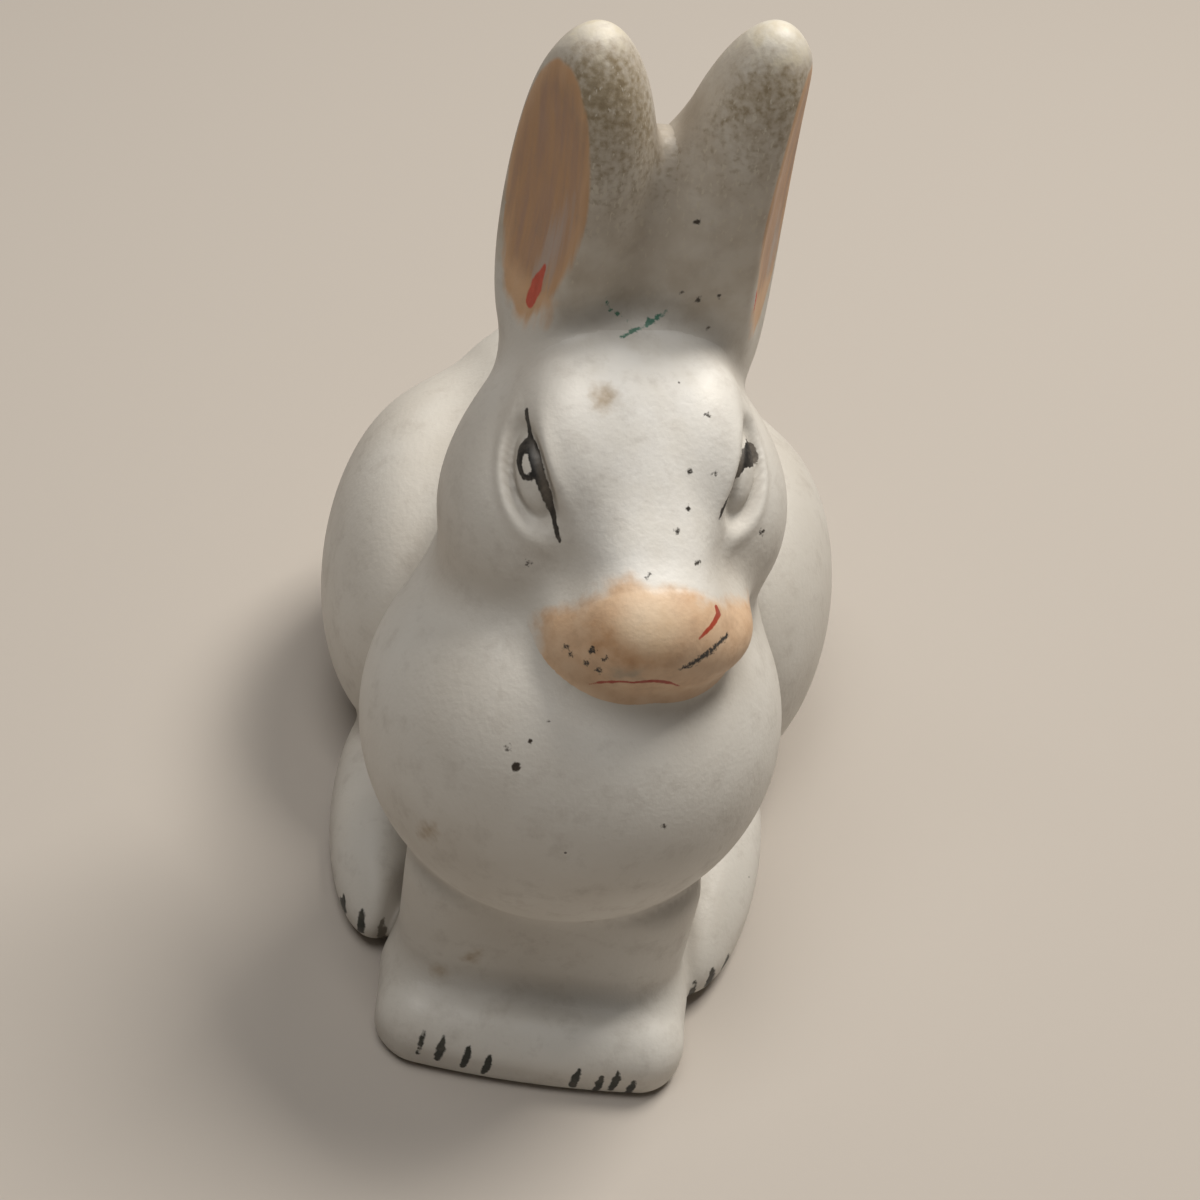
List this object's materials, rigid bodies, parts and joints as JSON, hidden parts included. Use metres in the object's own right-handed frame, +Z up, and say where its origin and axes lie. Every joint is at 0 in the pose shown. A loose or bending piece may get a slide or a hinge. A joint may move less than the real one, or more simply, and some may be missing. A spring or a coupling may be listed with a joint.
{
  "type": "ceramic rabbit figurine",
  "caption": "Sitting rabbit ornament in matte white bisque, with upright ears, a head turned a little aside, painted eyes, muzzle and inner ears, and a flat base to stand on.",
  "frame": {"origin": "on the ground, in the middle of the box round the whole figure", "axes": "+Z up, the rabbit faces -Y, and its left side is +X"},
  "size_m": [0.0594, 0.0961, 0.1008],
  "materials": {
    "bisque": "matte"
  },
  "bodies": {
    "root": {"body_shell": "bisque", "head_shell": "bisque", "ear_right": "bisque", "ear_left": "bisque", "foreleg_block": "bisque", "hind_foot_right": "bisque", "hind_foot_left": "bisque", "tail": "bisque"}
  },
  "joints": []
}
